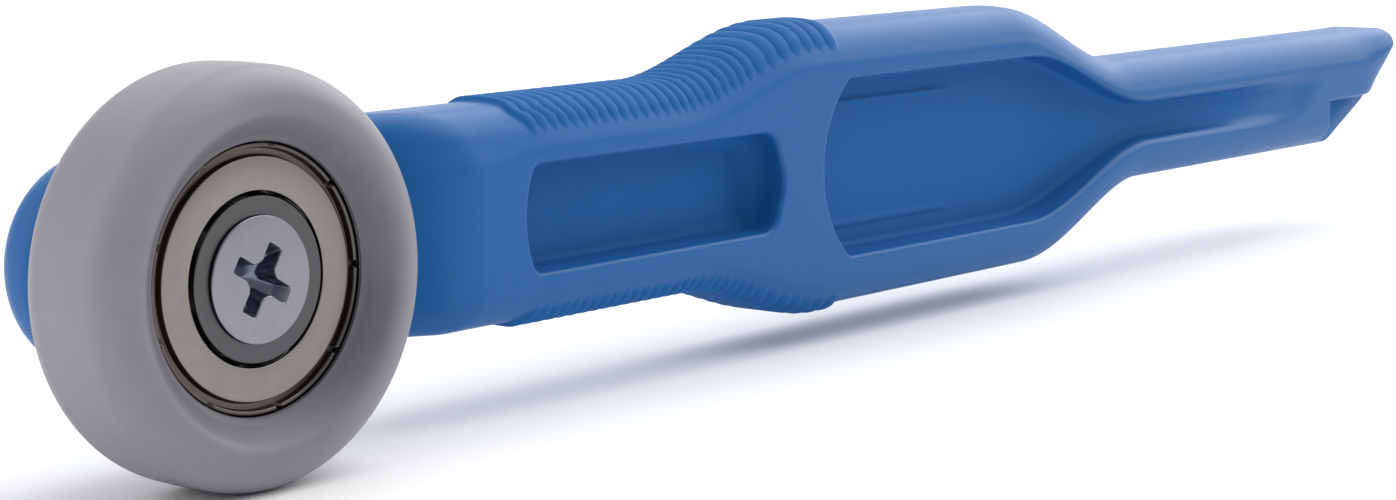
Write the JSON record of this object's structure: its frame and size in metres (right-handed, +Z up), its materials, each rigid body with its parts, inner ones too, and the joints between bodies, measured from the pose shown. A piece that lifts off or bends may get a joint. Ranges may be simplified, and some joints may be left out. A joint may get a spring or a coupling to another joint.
{
  "type": "seam roller",
  "caption": "Hand roller for pressing membrane seams: a narrow rounded wheel on a shielded ball bearing, held by a screw at the end of a flat ribbed plastic handle.",
  "frame": {"origin": "centre of the whole tool's bounding box in X and Y, at the level of the wheel's lowest point", "axes": "+X from the roller towards the tail, +Y along the roller's axle from the wheel side into the handle, +Z up"},
  "size_m": [0.2578, 0.0212, 0.0388],
  "materials": {
    "handle_plastic": "satin moulded blue plastic",
    "wheel_plastic": "smooth satin grey engineering plastic",
    "bearing_steel": "ground bearing steel",
    "shield_steel": "pressed sheet steel",
    "ball_steel": "polished bearing steel",
    "cage_steel": "pressed strip steel",
    "sleeve_steel": "turned steel",
    "screw_zinc": "bluish bright zinc plate",
    "insert_brass": "turned brass"
  },
  "bodies": {
    "handle": {"handle": "handle_plastic", "threaded_insert": "insert_brass", "axle_sleeve": "sleeve_steel", "axle_screw": "screw_zinc", "bearing_inner_ring": "bearing_steel"},
    "roller": {"roller_wheel": "wheel_plastic", "bearing_outer_ring": "bearing_steel", "bearing_shield_front": "shield_steel", "bearing_shield_rear": "shield_steel"},
    "cage": {"bearing_cage_front": "cage_steel", "bearing_cage_rear": "cage_steel", "cage_rivet_1": "cage_steel", "cage_rivet_2": "cage_steel", "cage_rivet_3": "cage_steel", "cage_rivet_4": "cage_steel", "cage_rivet_5": "cage_steel", "cage_rivet_6": "cage_steel", "cage_rivet_7": "cage_steel"},
    "ball_1": {"ball_1": "ball_steel"},
    "ball_2": {"ball_2": "ball_steel"},
    "ball_3": {"ball_3": "ball_steel"},
    "ball_4": {"ball_4": "ball_steel"},
    "ball_5": {"ball_5": "ball_steel"},
    "ball_6": {"ball_6": "ball_steel"},
    "ball_7": {"ball_7": "ball_steel"}
  },
  "joints": [
    {"name": "roller_spin", "type": "hinge", "parent": "handle", "child": "roller", "pos_m": [-0.10955, -0.00405, 0.0194], "axis": [0, 1, 0], "continuous": true},
    {"name": "cage_spin", "type": "hinge", "parent": "handle", "child": "cage", "pos_m": [-0.10955, -0.00405, 0.0194], "axis": [0, 1, 0], "continuous": true},
    {"name": "ball_1_spin", "type": "hinge", "parent": "cage", "child": "ball_1", "pos_m": [-0.10955, -0.00405, 0.0284], "axis": [0, 1, 0], "continuous": true},
    {"name": "ball_2_spin", "type": "hinge", "parent": "cage", "child": "ball_2", "pos_m": [-0.11659, -0.00405, 0.02501], "axis": [0, 1, 0], "continuous": true},
    {"name": "ball_3_spin", "type": "hinge", "parent": "cage", "child": "ball_3", "pos_m": [-0.11832, -0.00405, 0.0174], "axis": [0, 1, 0], "continuous": true},
    {"name": "ball_4_spin", "type": "hinge", "parent": "cage", "child": "ball_4", "pos_m": [-0.11346, -0.00405, 0.01129], "axis": [0, 1, 0], "continuous": true},
    {"name": "ball_5_spin", "type": "hinge", "parent": "cage", "child": "ball_5", "pos_m": [-0.10565, -0.00405, 0.01129], "axis": [0, 1, 0], "continuous": true},
    {"name": "ball_6_spin", "type": "hinge", "parent": "cage", "child": "ball_6", "pos_m": [-0.10078, -0.00405, 0.0174], "axis": [0, 1, 0], "continuous": true},
    {"name": "ball_7_spin", "type": "hinge", "parent": "cage", "child": "ball_7", "pos_m": [-0.10251, -0.00405, 0.02501], "axis": [0, 1, 0], "continuous": true}
  ],
  "couplings": [
    {"joint": "cage_spin", "follows": "roller_spin", "ratio": 0.6323},
    {"joint": "ball_1_spin", "follows": "roller_spin", "ratio": 1.7577},
    {"joint": "ball_2_spin", "follows": "roller_spin", "ratio": 1.7577},
    {"joint": "ball_3_spin", "follows": "roller_spin", "ratio": 1.7577},
    {"joint": "ball_4_spin", "follows": "roller_spin", "ratio": 1.7577},
    {"joint": "ball_5_spin", "follows": "roller_spin", "ratio": 1.7577},
    {"joint": "ball_6_spin", "follows": "roller_spin", "ratio": 1.7577},
    {"joint": "ball_7_spin", "follows": "roller_spin", "ratio": 1.7577}
  ]
}
